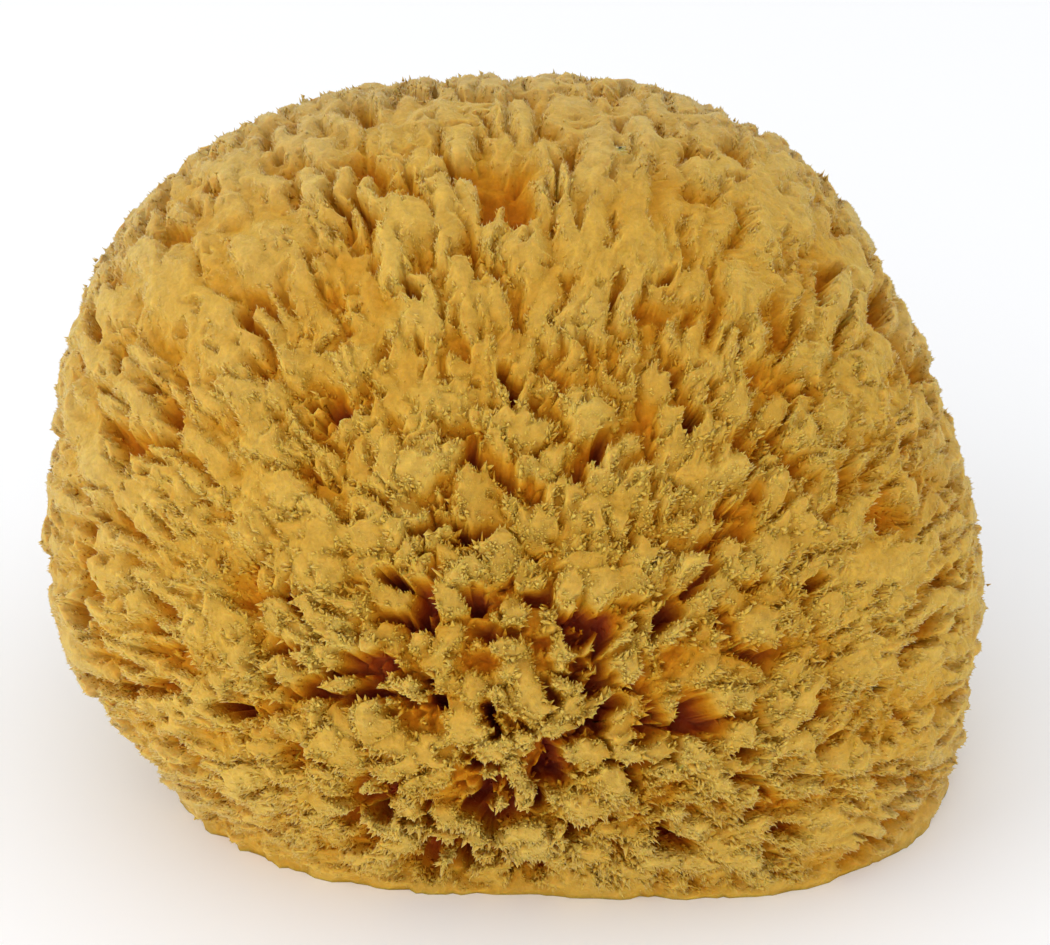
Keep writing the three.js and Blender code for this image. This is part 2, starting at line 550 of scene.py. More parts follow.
    def streaks(self, place: np.ndarray) -> np.ndarray:
        """Long grooves that run away from the heart, from 0 to 1.

        Fine noise is averaged over steps along the way to the heart, so that it draws out
        into streaks, and its highs become grooves.

        Args:
            place: wandered places in mm, shape (n, 3).

        Returns:
            How far into a groove each place is, shape (n,).
        """
        outward = unit(place)
        away = unit(outward - FRONT_HEART.way() + 1e-6)
        away = unit(away - outward * (away * outward).sum(1)[:, None])
        steps = np.linspace(-self.streak_reach, self.streak_reach, self.streak_steps)
        drawn = sum(noise(place + step * away, self.streak_length, Series.STREAK) for step in steps)
        return smoothstep(*self.streak_band, drawn / len(steps))

    def busy(self, place: np.ndarray) -> np.ndarray:
        """How open the sponge is at a place, from 0 to 1: most of all at its heart."""
        return smoothstep(*self.busy_band, self.busy_change.at(place) + self.heart(place))

    def furrow(self, place: np.ndarray, busy: np.ndarray) -> np.ndarray:
        """The depth of the furrows, and of the holes where three of them meet.

        Furrows follow the walls of the tufts' cells, and are wider and deeper where the
        sponge is busy. Some tufts stand low, and every tuft is crowned.

        Args:
            place: wandered places in mm, shape (n, 3).
            busy: how open the sponge is there, shape (n,).

        Returns:
            Depths in mm, shape (n,).
        """
        tufts = cells(place, self.tuft, Series.TUFT)
        width = self.furrow_narrow + (self.furrow_wide - self.furrow_narrow) * busy
        bed = self.furrow_shallow + (self.furrow_deep - self.furrow_shallow) * busy
        bed *= 1 + self.bed_change.at(place)
        opened = smoothstep(*self.open_band, noise(place, self.open_length, Series.FURROW_OPEN))
        bed *= 0.2 + 0.8 * opened
        width *= 0.6 + 0.4 * opened
        in_furrow = 1 - smoothstep(*self.furrow_edge, tufts.from_edge / width)
        in_hole = 1 - smoothstep(*self.hole_edge, tufts.from_corner / width)
        in_hole *= smoothstep(*self.hole_band, noise(place, self.hole_length, Series.HOLE))
        lower = self.low_tuft * hashed(tufts.cell, Series.LOW_TUFT) ** 3 * busy
        crowned = self.crown * (tufts.first / (0.6 * self.tuft)) ** 2 * (0.2 + 0.8 * busy)
        return np.maximum(in_furrow * bed, lower) + in_hole * self.hole_depth * busy + crowned

    def heart(self, place: np.ndarray) -> np.ndarray:
        """How near places are to a heart: highest there, minus heart_floor far off."""
        near = np.exp(-((self.apart(place) / self.heart_spread) ** 2))
        return self.heart_rise * near - self.heart_floor

    def bleach_and_painted_light(self, place: np.ndarray) -> np.ndarray:
        """How pale a place is painted, from 0 at the heart to 1 at the crown and sides: partly
        sun-bleach, partly painted light.
        """
        apart = FRONT_HEART.apart(place) + self.bleach_and_painted_light_change.at(place)
        return smoothstep(*self.bleach_and_painted_light_band, apart)

    @staticmethod
    def apart(place: np.ndarray) -> np.ndarray:
        """How far places are from the nearest heart, in degrees shrunk by its spread."""
        return np.min([heart.apart(place) for heart in (FRONT_HEART, *FAR_HEARTS)], axis=0)

    def openings(self, d: np.ndarray, stray: np.ndarray, dome: DomeForm) -> np.ndarray:
        """The depth of the openings: each is an oval bowl in the plane that touches it.

        Args:
            d: unit vectors, shape (n, 3).
            stray: how far each place wanders, shape (n, 3).
            dome: the smooth outside.

        Returns:
            The deepest opening's depth at each place, 0 outside them all.
        """
        deepest = np.zeros(len(d))
        for opening in FRONT_OPENINGS:
            centre = direction(opening.azimuth, opening.elevation)
            reach = float(dome.radius(centre))
            near = np.flatnonzero(d @ centre > np.cos(opening.length * 1.6 / reach))
            up = unit(np.array([0.0, 0.0, 1.0]) - centre * centre[2])
            across = np.cross(up, centre)
            lean = np.radians(opening.lean)
            along = np.cos(lean) * up + np.sin(lean) * across
            beside = np.cos(lean) * across - np.sin(lean) * up
            offset = (d[near] - centre) * reach + self.opening_stray * stray[near]
            oval = np.hypot(
                offset @ beside * 2 / opening.width, offset @ along * 2 / opening.length
            )
            bowl = opening.depth * (1 - smoothstep(*self.opening_edge, oval))
            deepest[near] = np.maximum(deepest[near], bowl)
        return deepest


# --- Meshes -----------------------------------------------------------------------------


def mesh_object(name: str, points: np.ndarray, faces: np.ndarray) -> bpy.types.Object:
    """Makes a mesh object at the origin from arrays.

    Args:
        name: the piece's name.
        points: corners in mm, shape (n, 3).
        faces: corner numbers, shape (m, 3) or (m, 4).

    Returns:
        The object, with its mesh in metres and smooth faces.
    """
    mesh = bpy.data.meshes.new(name)
    count, sides = faces.shape
    mesh.vertices.add(len(points))
    mesh.vertices.foreach_set("co", (points * MM).astype(np.float32).ravel())
    mesh.loops.add(count * sides)
    mesh.loops.foreach_set("vertex_index", faces.astype(np.int32).ravel())
    mesh.polygons.add(count)
    mesh.polygons.foreach_set("loop_start", np.arange(0, count * sides, sides, dtype=np.int32))
    mesh.polygons.foreach_set("use_smooth", np.ones(count, bool))
    mesh.update(calc_edges=True)
    piece = bpy.data.objects.new(name, mesh)
    bpy.context.scene.collection.objects.link(piece)
    return piece


def point_attribute(piece: bpy.types.Object, name: str, values: np.ndarray) -> None:
    """Stores one number for each of the piece's points, for its material to read."""
    layer = piece.data.attributes.new(name, "FLOAT", "POINT")
    layer.data.foreach_set("value", values.astype(np.float32))


def points_of(mesh: bpy.types.Mesh) -> np.ndarray:
    """A mesh's points in mm, shape (n, 3)."""
    flat = np.empty(len(mesh.vertices) * 3, np.float32)
    mesh.vertices.foreach_get("co", flat)
    return flat.reshape(-1, 3).astype(np.float64) / MM


def concentric(count: int) -> tuple[np.ndarray, np.ndarray]:
    """A square grid drawn out to a disc: square rings become round ones.

    Args:
        count: points along the square's side.

    Returns:
        The distance from the disc's centre and the angle, each of shape (count, count).
    """
    side = np.linspace(-1, 1, count)
    a, b = np.meshgrid(side, side, indexing="ij")
    wide = np.abs(a) > np.abs(b)
    reach = np.where(wide, a, b)
    safe = np.where(np.abs(reach) < 1e-12, 1.0, reach)
    turn = np.where(wide, np.pi / 4 * b / safe, np.pi / 2 - np.pi / 4 * a / safe)
    turn = turn + np.where(reach < 0, np.pi, 0)
    return np.abs(reach), turn


def grid_faces(rows: int, columns: int) -> np.ndarray:
    """The four-sided faces of a grid whose points are numbered row by row."""
    number = np.arange(rows * columns).reshape(rows, columns)
    return np.stack(
        [number[:-1, :-1], number[1:, :-1], number[1:, 1:], number[:-1, 1:]], -1
    ).reshape(-1, 4)


@dataclass(frozen=True)
class Canals:
    """Round canals that open in the cut face, at most one to a cell. Sizes are in mm."""

    spacing: float
    radius: float
    depth: float
    series: Series
    least: float = 0.35
    spread: float = 0.9
    edge: Band = (0.55, 1.0)
    wander: Wave = Wave(0.7, 4.0, Series.CANAL_MOUTH)

    def lift(self, flat: np.ndarray) -> np.ndarray:
        """How far up the canals reach at places on the cut plane, in mm.

        Each is a bowl round the seed of its cell, whose middle lies on the plane. Its size
        is drawn from the series four after the canals' own.

        Args:
            flat: places on the cut plane, shape (n, 3).

        Returns:
            Heights of shape (n,), 0 between canals.
        """
        middle = np.array([0, 0, self.spacing / 2])
        near = cells(flat + self.wander.push(flat) + middle, self.spacing, self.series)
        size = self.radius * (self.least + self.spread * hashed(near.cell, self.series + 4))
        return self.depth * (1 - smoothstep(*self.edge, near.first / size))


@dataclass
class SpongeBody:
    """The grown body: the tufted dome and the cut face, as one closed surface."""

    dome: DomeForm = field(default_factory=DomeForm)
    tufts: TuftForm = field(default_factory=TuftForm)
    grid: int = 600
    base_rings: int = 90
    most_triangles: int = 195_000
    sway: Wave = Wave(0.8, 7.0, Series.SWAY)
    sway_rises: Band = (0.0, 5.0)
    canals: tuple[Canals, ...] = (
        Canals(12.0, 2.6, 9.0, Series.CANAL),
        Canals(5.0, 1.5, 4.0, Series.SMALL_CANAL),
    )
    cut_pores: float = 1.1
    pore_length: float = 1.8
    pore_band: Band = (0.05, 0.6)
    canal_band: Band = (0.82, 0.94)
    # Bleach and painted light, the same all over the cut face.
    cut_bleach_and_painted_light: float = 0.25
    grid_spread: float = 1.25
    level_reach: float = 5.0
    level_share: float = 0.35
    # How far bleach and painted light make the dome's painted shade shallower.
    bleach_and_painted_light_share: float = 0.4
    surface: np.ndarray = field(default_factory=lambda: np.zeros((0, 3)), repr=False)
    level: np.ndarray = field(default_factory=lambda: np.zeros((0, 0)), repr=False)

    def dome_directions(self) -> np.ndarray:
        """Directions spread evenly over the upper half of a ball, on a square grid.

        The disc of the concentric grid is lifted so that equal areas stay equal: height
        is 1 minus the distance squared.

        Returns:
            Unit vectors, shape (grid * grid, 3).
        """
        reach, turn = concentric(self.grid)
        height = 1 - reach**2
        flat = reach * np.sqrt(2 - reach**2)
        return np.stack([flat * np.cos(turn), flat * np.sin(turn), height], -1).reshape(-1, 3)

    def dome_points(self) -> np.ndarray:
        """The dome's points: out along each direction to the relief, then swayed a little.

        The sway is smooth noise in space, so that furrows lean and overhang. It dies
        away at the cut, whose rim stays level.

        Returns:
            Points in mm, shape (grid * grid, 3).
        """
        d = self.dome_directions()
        depth = self.tufts.relief(d, self.dome)
        self.level = self.blurred(depth.reshape(self.grid, self.grid))
        points = d * (self.dome.radius(d) - depth)[:, None]
        sway = self.sway.push(points)
        sway[:, 2] *= smoothstep(*self.sway_rises, points[:, 2])
        self.surface = points + sway
        return self.surface.copy()

    def blurred(self, values: np.ndarray) -> np.ndarray:
        """A grid of values, each averaged over the square of level_reach mm round it.

        Running totals are taken along each axis, and each mean is the gap between two.

        Args:
            values: the grid, shape (grid, grid).

        Returns:
            The averaged grid, of the same shape.
        """
        across = 2 * self.dome.right * self.grid_spread
        reach = max(1, round(self.level_reach * self.grid / across))
        for axis in (0, 1):
            ends = [(reach + 1, reach) if i == axis else (0, 0) for i in (0, 1)]
            total = np.cumsum(np.pad(values, ends, "edge"), axis)
            width = 2 * reach + 1
            ahead = np.take(total, np.arange(width, total.shape[axis]), axis)
            behind = np.take(total, np.arange(0, total.shape[axis] - width), axis)
            values = (ahead - behind) / width
        return values

    def grid_place(self, d: np.ndarray) -> tuple[np.ndarray, np.ndarray]:
        """The row and column of the grid point nearest to each direction.

        This undoes dome_directions: the distance from the disc's centre is the root of 1
        minus the height, and round rings become square ones.

        Args:
            d: unit vectors, shape (n, 3).

        Returns:
            Rows and columns, each of shape (n,).
        """
        reach = np.sqrt(np.clip(1 - d[:, 2], 0, 1))
        turn = np.arctan2(d[:, 1], d[:, 0])
        nearest = np.round(turn / (np.pi / 2))
        across = (turn - nearest * np.pi / 2) / (np.pi / 4) * reach
        quarter = nearest.astype(int) % 4
        picks = [quarter == 0, quarter == 1, quarter == 2]
        a = np.select(picks, [reach, -across, -reach], across)
        b = np.select(picks, [across, reach, -across], -reach)
        scale = (self.grid - 1) / 2
        return np.rint((a + 1) * scale).astype(int), np.rint((b + 1) * scale).astype(int)

    def shade(self, points: np.ndarray) -> np.ndarray:
        """How deep points look, in mm, for the painted shade: their depth, less a share of the
        level round them.

        Where the sponge is bleached and painted light, depths look shallower, so its painted shade
        is lighter.

        Args:
            points: places in mm, shape (n, 3).

        Returns:
            Depths in mm, shape (n,).
        """
        d = unit(points)
        depth = self.dome.radius(d) - np.linalg.norm(points, axis=1)
        row, column = self.grid_place(np.maximum(d, [-1, -1, 0]))
        depth -= self.level_share * (self.level[row, column] - 1.0)
        return depth * (1 - self.bleach_and_painted_light_share * self.tufts.bleach_and_painted_light(points))

    def rim(self) -> np.ndarray:
        """The numbers of the grid's border points, once round, counter-clockwise.

        Returns:
            Point numbers, shape (4 * grid - 4,).
        """
        n = self.grid
        number = np.arange(n * n).reshape(n, n)
        return np.concatenate(
            [number[-1, :-1], number[::-1, -1][:-1], number[0, ::-1][:-1], number[:, 0][:-1]]
        )

    def cut_points(self, rim_points: np.ndarray) -> np.ndarray:
        """The cut face inside the rim, in rings that shrink to the middle.

        Each point is the rim point times its ring's share, lifted into canals and into
        fine pores.

        Args:
            rim_points: the rim in mm, shape (m, 3).

        Returns:
            Points ring by ring from the second ring in, then the middle point.
        """
        share = 1 - np.arange(1, self.base_rings) / self.base_rings
        flat = rim_points[None] * share[:, None, None]
        flat = flat.reshape(-1, 3)
        flat[:, 2] = 0
        inner = np.repeat(share, len(rim_points))
        inside = 1 - smoothstep(*self.canal_band, inner)
        mouths = np.max([canals.lift(flat) for canals in self.canals], axis=0)
        fine = noise(flat, self.pore_length, Series.PORE)
        pores = self.cut_pores * smoothstep(*self.pore_band, fine)
        lift = mouths * inside + pores * smoothstep(0, 0.03, 1 - inner)
        middle_stays = smoothstep(6.0, 9.0, np.hypot(flat[:, 0], flat[:, 1]))
        flat[:, 2] = lift * middle_stays
        return np.concatenate([flat, np.zeros((1, 3))])

    def build(self) -> bpy.types.Object:
        """Builds the body, thins it to its triangle count and stores each point's depth.

        The rings of the cut face join the dome's rim, and close on the middle point.

        Returns:
            The body, with its cut face in the second material slot.
        """
        top = self.dome_points()
        rim = self.rim()
        top[rim, 2] = 0
        low = self.cut_points(top[rim])
        points = np.concatenate([top, low])
        first = len(top)
        around = len(rim)
        rings = np.concatenate([rim[None], first + np.arange(len(low) - 1).reshape(-1, around)])
        rings = np.concatenate([rings, rings[:, :1]], 1)
        band = np.stack(
            [rings[:-1, :-1], rings[1:, :-1], rings[1:, 1:], rings[:-1, 1:]], -1
        ).reshape(-1, 4)
        cap = np.stack(
            [rings[-1, :-1], np.full(around, len(points) - 1), rings[-1, 1:]], -1
        )
        quads = np.concatenate([grid_faces(self.grid, self.grid), band])
        triangles = np.concatenate([quads[:, [0, 1, 2]], quads[:, [0, 2, 3]], cap])
        on_cut = np.arange(len(quads)) >= len(quads) - len(band)
        slots = np.concatenate([on_cut, on_cut, np.ones(len(cap), bool)]).astype(np.int32)
        piece = mesh_object("sponge_body", points, triangles)
        piece.data.polygons.foreach_set("material_index", slots)
        self.face_outwards(piece)
        self.thin(piece, self.most_triangles)
        self.dress_points(piece)
        return piece

    def dress_points(self, piece: bpy.types.Object) -> None:
        """Stores what the finishes read at each point.

        On the dome, depth is how deep the point looks, which sets its painted shade. On the cut it
        is the height above the cut plane, so that painted shade darkens the canals, and the bleach
        and painted light are the same all over.

        Args:
            piece: the thinned body.
        """
        mesh = piece.data
        at = points_of(mesh)
        corners = np.empty(len(mesh.loops), np.int32)
        mesh.loops.foreach_get("vertex_index", corners)
        slots = np.empty(len(mesh.polygons), np.int32)
        mesh.polygons.foreach_get("material_index", slots)
        on_dome = np.zeros(len(at), bool)
        on_dome[corners.reshape(-1, 3)[slots == 0]] = True
        depth = np.where(on_dome, self.shade(at), at[:, 2])
        point_attribute(piece, "depth", depth)
        point_attribute(piece, "bleach_and_painted_light", np.where(on_dome, self.tufts.bleach_and_painted_light(at), self.cut_bleach_and_painted_light))

    @staticmethod
    def face_outwards(piece: bpy.types.Object) -> None:
        """Turns every face of the closed body outwards.

        Args:
            piece: the body.
        """
        shape = bmesh.new()
        shape.from_mesh(piece.data)
        bmesh.ops.recalc_face_normals(shape, faces=shape.faces)
        shape.to_mesh(piece.data)
        shape.free()

    @staticmethod
    def thin(piece: bpy.types.Object, most: int) -> None:
        """Collapses the edges that matter least until the piece has few enough triangles.

        Points that this moves under the cut plane are lifted back to it.

        Args:
            piece: the dense piece, which keeps its name.
            most: how many triangles may be left.
        """
        modifier = piece.modifiers.new("thin", "DECIMATE")
        modifier.ratio = min(1.0, most / len(piece.data.polygons))
        depsgraph = bpy.context.evaluated_depsgraph_get()
        thinned = bpy.data.meshes.new_from_object(piece.evaluated_get(depsgraph))
        piece.modifiers.clear()
        dense = piece.data
        piece.data = thinned
        bpy.data.meshes.remove(dense)
        thinned.name = piece.name
        at = points_of(thinned)
        at[:, 2] = np.maximum(at[:, 2], 0)
        thinned.vertices.foreach_set("co", (at * MM).astype(np.float32).ravel())
        thinned.update()


# --- Finishes ---------------------------------------------------------------------------


class FibreGrain:
    """The shader group of matted fibre: clods and fine grain, from noise on the object."""

    NAME = "fibre_grain"

    @classmethod
    def group(cls) -> bpy.types.ShaderNodeTree:
        """The group, built the first time it is asked for.

        Its colour is the given colour multiplied towards the tint for bleach and painted light as
        far as the bleach goes, times 1 plus each noise's part of its amount. Its height is the two
        noises added, the grain at half weight.

        Returns:
            The group's node tree.
        """
        made = bpy.data.node_groups.get(cls.NAME)
        if made:
            return made
        tree = bpy.data.node_groups.new(cls.NAME, "ShaderNodeTree")
        for name, kind, value in (
            ("Colour", "NodeSocketColor", (0.6, 0.4, 0.1, 1)),
            ("Bleach And Painted Light Tint", "NodeSocketColor", (1, 1, 1, 1)),
            ("Bleach And Painted Light", "NodeSocketFloat", 0.0),
            ("Clod Amount", "NodeSocketFloat", 0.16),
            ("Grain Amount", "NodeSocketFloat", 0.12),
            ("Clod Scale", "NodeSocketFloat", 450.0),
            ("Grain Scale", "NodeSocketFloat", 1500.0),
        ):
            socket = tree.interface.new_socket(name, in_out="INPUT", socket_type=kind)
            socket.default_value = value
        tree.interface.new_socket("Colour", in_out="OUTPUT", socket_type="NodeSocketColor")
        tree.interface.new_socket("Height", in_out="OUTPUT", socket_type="NodeSocketFloat")
        nodes, links = tree.nodes, tree.links
        given, result = nodes.new("NodeGroupInput"), nodes.new("NodeGroupOutput")
        place = nodes.new("ShaderNodeTexCoord")
        tints, heights = [], []
        for part in ("Clod", "Grain"):
            texture = nodes.new("ShaderNodeTexNoise")
            texture.inputs["Detail"].default_value = 1.0
            links.new(place.outputs["Object"], texture.inputs["Vector"])
            links.new(given.outputs[f"{part} Scale"], texture.inputs["Scale"])
            centred = cls.maths(tree, "SUBTRACT", texture.outputs["Fac"], 0.5)
            scaled = cls.maths(tree, "MULTIPLY", centred, given.outputs[f"{part} Amount"])
            tints.append(cls.maths(tree, "MULTIPLY_ADD", scaled, 4.0, 1.0))
            heights.append(texture.outputs["Fac"])
        tint = cls.maths(tree, "MULTIPLY", tints[0], tints[1])
        paler = nodes.new("ShaderNodeMix")
        paler.data_type = "RGBA"
        paler.blend_type = "MULTIPLY"
        links.new(given.outputs["Bleach And Painted Light"], paler.inputs[0])
        links.new(given.outputs["Colour"], paler.inputs[6])
        links.new(given.outputs["Bleach And Painted Light Tint"], paler.inputs[7])
        shade = nodes.new("ShaderNodeVectorMath")
        shade.operation = "SCALE"
        links.new(paler.outputs[2], shade.inputs[0])
        links.new(tint, shade.inputs["Scale"])
        links.new(shade.outputs["Vector"], result.inputs["Colour"])
        height = cls.maths(tree, "MULTIPLY_ADD", heights[1], 0.5, heights[0])
        links.new(height, result.inputs["Height"])
        return tree

    @staticmethod
    def maths(
        tree: bpy.types.ShaderNodeTree,
        operation: str,
        *values: bpy.types.NodeSocket | float,
    ) -> bpy.types.NodeSocket:
        """Adds a Math node.

        Args:
            tree: where it goes.
            operation: what it does, by Blender's name.
            values: a socket or a number for each of its inputs.

        Returns:
            Its output.
        """
        node = tree.nodes.new("ShaderNodeMath")
        node.operation = operation
        for socket, value in zip(node.inputs, values):
            if isinstance(value, bpy.types.NodeSocket):
                tree.links.new(value, socket)
            else:
                socket.default_value = value
        return node.outputs[0]


@dataclass(frozen=True)
class SpongeFinish:
    """Dry sponge fibre: ochre at the tips, orange-brown down the walls, dark in the holes; the
    darkening with depth is painted shade in the furrows and holes.

    Each stop is a depth in mm and a linear colour.
    """

    name: str
    # Painted shade: deeper stops are darker and redder, so furrows and holes look shaded.
    stops: tuple[tuple[float, Colour], ...] = (
        (-1.5, (0.585, 0.375, 0.075)),
        (0.8, (0.55, 0.312, 0.044)),
        (2.6, (0.53, 0.240, 0.014)),
        (5.0, (0.48, 0.158, 0.006)),
        (9.0, (0.38, 0.072, 0.010)),
        (16.0, (0.30, 0.034, 0.022)),
    )
    roughness: float = 0.92
    clod_amount: float = 0.1
    grain_amount: float = 0.08
    relief: float = 0.3
    glow: float = 0.9
    glow_reach: float = 2.0
    glow_radius: Colour = (1.0, 0.55, 0.2)
    # The tint for bleach and painted light: paler, less red and bluer.
    bleach_and_painted_light_tint: Colour = (0.82, 0.93, 2.0)

    def build(self) -> bpy.types.Material:
        """Makes the material: a ramp over the depth that paints shade into furrows and holes, then
        the fibre grain and its bump.

        Returns:
            The material.
        """
        material = bpy.data.materials.new(self.name)
        material.use_nodes = True
        nodes, links = material.node_tree.nodes, material.node_tree.links
        shader = nodes["Principled BSDF"]
        shader.inputs["Roughness"].default_value = self.roughness
        shader.inputs["Specular IOR Level"].default_value = 0.0
        shader.inputs["Subsurface Weight"].default_value = self.glow
        shader.inputs["Subsurface Radius"].default_value = self.glow_radius
        shader.inputs["Subsurface Scale"].default_value = self.glow_reach * MM
        depth = nodes.new("ShaderNodeAttribute")
        depth.attribute_name = "depth"
        low, high = self.stops[0][0], self.stops[-1][0]
        spread = nodes.new("ShaderNodeMapRange")
        spread.inputs["From Min"].default_value = low
        spread.inputs["From Max"].default_value = high
        links.new(depth.outputs["Fac"], spread.inputs["Value"])
        ramp = nodes.new("ShaderNodeValToRGB")
        elements = ramp.color_ramp.elements
        while len(elements) < len(self.stops):
            elements.new(0.5)
        for element, (at, colour) in zip(elements, self.stops):
            element.position = (at - low) / (high - low)
            element.color = (*colour, 1)
        links.new(spread.outputs["Result"], ramp.inputs["Fac"])
        grain = nodes.new("ShaderNodeGroup")
        grain.node_tree = FibreGrain.group()
        grain.inputs["Clod Amount"].default_value = self.clod_amount
        grain.inputs["Grain Amount"].default_value = self.grain_amount
        grain.inputs["Bleach And Painted Light Tint"].default_value = (*self.bleach_and_painted_light_tint, 1)
        bleach_and_painted_light = nodes.new("ShaderNodeAttribute")
        bleach_and_painted_light.attribute_name = "bleach_and_painted_light"
        links.new(bleach_and_painted_light.outputs["Fac"], grain.inputs["Bleach And Painted Light"])
        links.new(ramp.outputs["Color"], grain.inputs["Colour"])
        links.new(grain.outputs["Colour"], shader.inputs["Base Color"])
        bump = nodes.new("ShaderNodeBump")
        bump.inputs["Distance"].default_value = self.relief * MM
        links.new(grain.outputs["Height"], bump.inputs["Height"])
        links.new(bump.outputs["Normal"], shader.inputs["Normal"])
        return material


BODY_FINISH = SpongeFinish("dry_sponge_body")
# Painted light: the fibres' stops are lighter than the body's, making up for the glow that lightens
# the body's shade.
FIBRE_FINISH = SpongeFinish(
    "dry_sponge_fibre",
    stops=(
        (-1.5, (0.64, 0.415, 0.076)),
        (0.8, (0.60, 0.355, 0.045)),
        (2.6, (0.55, 0.256, 0.014)),
        (5.0, (0.50, 0.165, 0.006)),
        (9.0, (0.38, 0.072, 0.010)),
        (16.0, (0.30, 0.034, 0.022)),
    ),
    glow_reach=0.3,
    glow_radius=(1.0, 1.0, 1.0),
)
# Painted shade: the cut face darkens with height up into its canals.
CUT_FINISH = SpongeFinish(
    "cut_sponge_face",
    stops=(
        (0.0, (0.54, 0.345, 0.100)),
        (0.8, (0.50, 0.275, 0.045)),
        (2.4, (0.42, 0.170, 0.012)),
        (5.0, (0.32, 0.080, 0.004)),
        (9.0, (0.22, 0.034, 0.003)),
    ),
    clod_amount=0.16,
    grain_amount=0.16,
    relief=0.5,
)


# --- Fibres -----------------------------------------------------------------------------


@dataclass
class Fibres:
    """Fine fibre tips that stand on the tufts, as closed three-sided spikes.

    Sizes are in mm. edge_length and front_length each hold the least share of the length,
    and what is added to it at an edge or near the front heart.
    """

    body: SpongeBody
    pieces: int = 5
    per_piece: int = 49_000
    length: float = 1.3
    width: float = 0.7
    sunk: float = 0.6
    high_band: Band = (1.5, 6.0)
    largest_area: float = 0.6
    off_rim: Band = (0.4, 1.5)
    edge_band: Band = (0.1, 0.5)
    front_band: Band = (60.0, 20.0)
    lean_out: float = 0.45
    edge_length: Band = (0.35, 0.65)
    front_length: Band = (0.66, 0.34)
    low_chance: float = 0.02
    even_chance: float = 1.5
    lock: float = 1.4
    root_shade: float = 0.9
    clump: float = 2.2
    gather: float = 0.5
    stray: float = 0.12
    seed: int = 7

    def places(self) -> tuple[np.ndarray, np.ndarray]:
        """Roots on the body's dense surface, and which way the surface faces there.

        A root is a grid point moved by random shares of the two grid steps beside it. A
        grid point is drawn by its area times its nearness to the tufts' tops.

        Returns:
            The roots in mm and the outward normals, each of shape (n, 3).
        """
        random = np.random.default_rng(self.seed)
        n = self.body.grid
        grid = self.body.surface.reshape(n, n, 3)
        corner, down, right = grid[:-1, :-1], grid[1:, :-1], grid[:-1, 1:]
        step_a, step_b = (down - corner).reshape(-1, 3), (right - corner).reshape(-1, 3)
        at = corner.reshape(-1, 3)
        normal = np.cross(step_a, step_b)
        area = np.linalg.norm(normal, axis=1)
        normal = unit(normal) * np.sign((normal * at).sum(1))[:, None]
        depth = self.body.dome.radius(unit(at)) - np.linalg.norm(at, axis=1)
        high = 1 - smoothstep(*self.high_band, depth)
        near = self.body.tufts.busy(at)
        likely = np.minimum(area, self.largest_area)
        likely = likely * (self.low_chance + high) * (self.even_chance + near)
        likely *= smoothstep(*self.off_rim, at[:, 2])
        count = self.pieces * self.per_piece
        drawn = random.choice(len(at), count, p=likely / likely.sum())
        share = random.random((count, 2, 1))
        roots = at[drawn] + share[:, 0] * step_a[drawn] + share[:, 1] * step_b[drawn]
        return roots, normal[drawn]

    def spikes(self, roots: np.ndarray, normals: np.ndarray) -> tuple[np.ndarray, np.ndarray]:
        """Spikes of four points: three round a sunk root, and a tip.

        Each leans between straight out from the growth centre and the way the surface
        faces, towards the middle of its clump, and strays at random.

        Args:
            roots: where they stand, shape (n, 3).
            normals: which way the surface faces, shape (n, 3).

        Returns:
            Points of shape (4n, 3), and faces of shape (4n, 3).
        """
        random = np.random.default_rng(self.seed + 1)
        count = len(roots)
        clumps = cells(roots, self.clump, Series.CLUMP)
        towards = clumps.seed - roots
        outward = unit(roots)
        towards -= outward * (towards * outward).sum(1)[:, None]
        axis = unit(
            outward + self.lean_out * normals + self.gather * towards / self.clump
            + self.stray * random.normal(size=(count, 3))
        )
        side = unit(np.cross(axis, random.normal(size=(count, 3))))
        other = np.cross(axis, side)
        edge = smoothstep(*self.edge_band, 1 - (normals * outward).sum(1))
        near = smoothstep(*self.front_band, FRONT_HEART.apart(roots))
        lock = 1 + self.lock * edge * near * random.random(count) ** 4
        at_edge = self.edge_length[0] + self.edge_length[1] * edge
        in_front = self.front_length[0] + self.front_length[1] * near
        length = self.length * (0.4 + 0.6 * random.random(count)) * at_edge * lock
        length *= (0.7 + 0.6 * hashed(clumps.cell, Series.CLUMP_LENGTH)) * in_front
        width = self.width * ((0.65 + 0.6 * random.random(count)) * lock)[:, None]
        points = np.empty((count, 4, 3))
        for i, turn in enumerate(np.radians((0, 120, 240))):
            round_axis = np.cos(turn) * side + np.sin(turn) * other
            points[:, i] = roots - axis * self.sunk + round_axis * width / 2
        points[:, 3] = roots + axis * length[:, None]
        points[:, :, 2] = np.maximum(points[:, :, 2], 0)
        faces = np.array([[0, 2, 1], [3, 0, 1], [3, 1, 2], [3, 2, 0]])
        faces = (np.arange(count)[:, None, None] * 4 + faces).reshape(-1, 3)
        return points.reshape(-1, 3), faces

    def build(self) -> list[bpy.types.Object]:
        """Builds the pieces, each a wedge of the dome by azimuth with an equal count.

        Returns:
            The pieces, with each point's depth, deepened at the roots for painted shade, and its
            bleach and painted light stored.
        """
        roots, normals = self.places()
        order = np.argsort(np.arctan2(roots[:, 1], roots[:, 0]), kind="stable")
        made = []
        for i, part in enumerate(np.array_split(order, self.pieces)):
            points, faces = self.spikes(roots[part], normals[part])
            piece = mesh_object(f"fibres_{i + 1}", points, faces)
            shade = self.body.shade(points).reshape(-1, 4)
            # Painted shade: root points look deeper, so each spike is darker and more orange at its
            # root.
            shade[:, :3] += self.root_shade
            point_attribute(piece, "depth", shade.ravel())
            point_attribute(piece, "bleach_and_painted_light", self.body.tufts.bleach_and_painted_light(points))
            made.append(piece)
        return made


# --- Stage ------------------------------------------------------------------------------


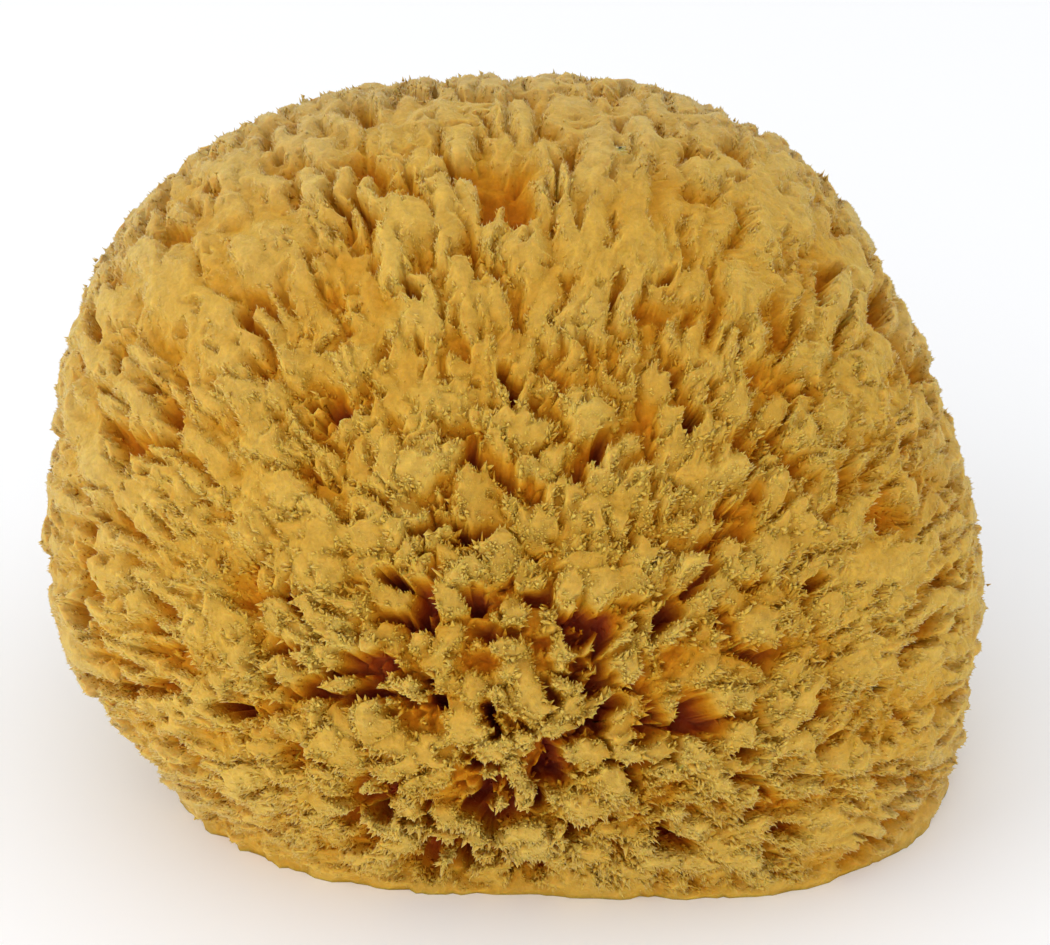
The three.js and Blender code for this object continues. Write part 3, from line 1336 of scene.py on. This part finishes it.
@dataclass(frozen=True)
class Lamp:
    """A square area light turned to the sponge: place and size in metres, power in watts."""

    name: str
    place: tuple[float, float, float]
    size: float
    power: float

    def build(self) -> None:
        """Makes the light."""
        data = bpy.data.lights.new(self.name, "AREA")
        data.size = self.size
        data.energy = self.power
        lamp = bpy.data.objects.new(self.name, data)
        lamp.location = self.place
        aim = Vector((0, 0, 0.05)) - lamp.location
        lamp.rotation_euler = aim.to_track_quat("-Z", "Y").to_euler()
        bpy.context.scene.collection.objects.link(lamp)


@dataclass(frozen=True)
class Studio:
    """The camera, the floor and the soft light."""

    elevation: float = 28.0
    distance: float = 523.3
    target: tuple[float, float, float] = (4.2, 0.0, 58.3)
    lens: float = 85.0
    sensor: float = 36.0
    floor_size: float = 6.0
    floor_colour: Colour = (0.95, 0.96, 0.98)
    world_strength: float = 0.94
    lamps: tuple[Lamp, ...] = (
        Lamp("key", (-1.3, -0.6, 1.0), 1.2, 6.0),
        Lamp("fill", (-0.3, -1.5, 0.5), 1.2, 7.0),
    )

    def build(self) -> None:
        """Makes the camera, floor, world and lights."""
        scene = bpy.context.scene
        scene.view_settings.view_transform = "Standard"
        rise = np.radians(self.elevation)
        target = Vector(self.target) * MM
        back = Vector((0.0, -np.cos(rise), np.sin(rise)))
        data = bpy.data.cameras.new("camera")
        data.lens = self.lens
        data.sensor_width = self.sensor
        data.clip_start = 0.01
        camera = bpy.data.objects.new("camera", data)
        camera.location = target + back * self.distance * MM
        camera.rotation_euler = (-back).to_track_quat("-Z", "Y").to_euler()
        scene.collection.objects.link(camera)
        scene.camera = camera
        self.floor()
        self.light()

    def floor(self) -> None:
        """A plain white floor under the cut face."""
        half = self.floor_size / 2 / MM
        corners = np.array([[-half, -half, 0], [half, -half, 0], [half, half, 0], [-half, half, 0]])
        piece = mesh_object("floor", corners, np.array([[0, 1, 2, 3]]))
        material = bpy.data.materials.new("floor_white")
        material.use_nodes = True
        shader = material.node_tree.nodes["Principled BSDF"]
        shader.inputs["Base Color"].default_value = (*self.floor_colour, 1)
        shader.inputs["Roughness"].default_value = 0.9
        piece.data.materials.append(material)

    def light(self) -> None:
        """A white world, a soft key light from the left and a softer fill in front."""
        world = bpy.data.worlds.new("studio")
        world.use_nodes = True
        background = world.node_tree.nodes["Background"]
        background.inputs["Color"].default_value = (1, 1, 1, 1)
        background.inputs["Strength"].default_value = self.world_strength
        bpy.context.scene.world = world
        for lamp in self.lamps:
            lamp.build()


def main() -> None:
    """Builds the studio, the body and its fibres, and ties them to the frame."""
    logging.basicConfig(level=logging.INFO, format="%(message)s")
    Studio().build()
    sponge = SpongeBody()
    body = sponge.build()
    body.data.materials.append(BODY_FINISH.build())
    body.data.materials.append(CUT_FINISH.build())
    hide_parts(NODE)
    fibres = Fibres(sponge).build()
    fibre_finish = FIBRE_FINISH.build()
    for piece in fibres:
        piece.data.materials.append(fibre_finish)
    for piece in (body, *fibres):
        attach(piece, BODY)
        LOG.info("%s: %d triangles", piece.name, len(piece.data.polygons))


if __name__ == "__main__":
    main()
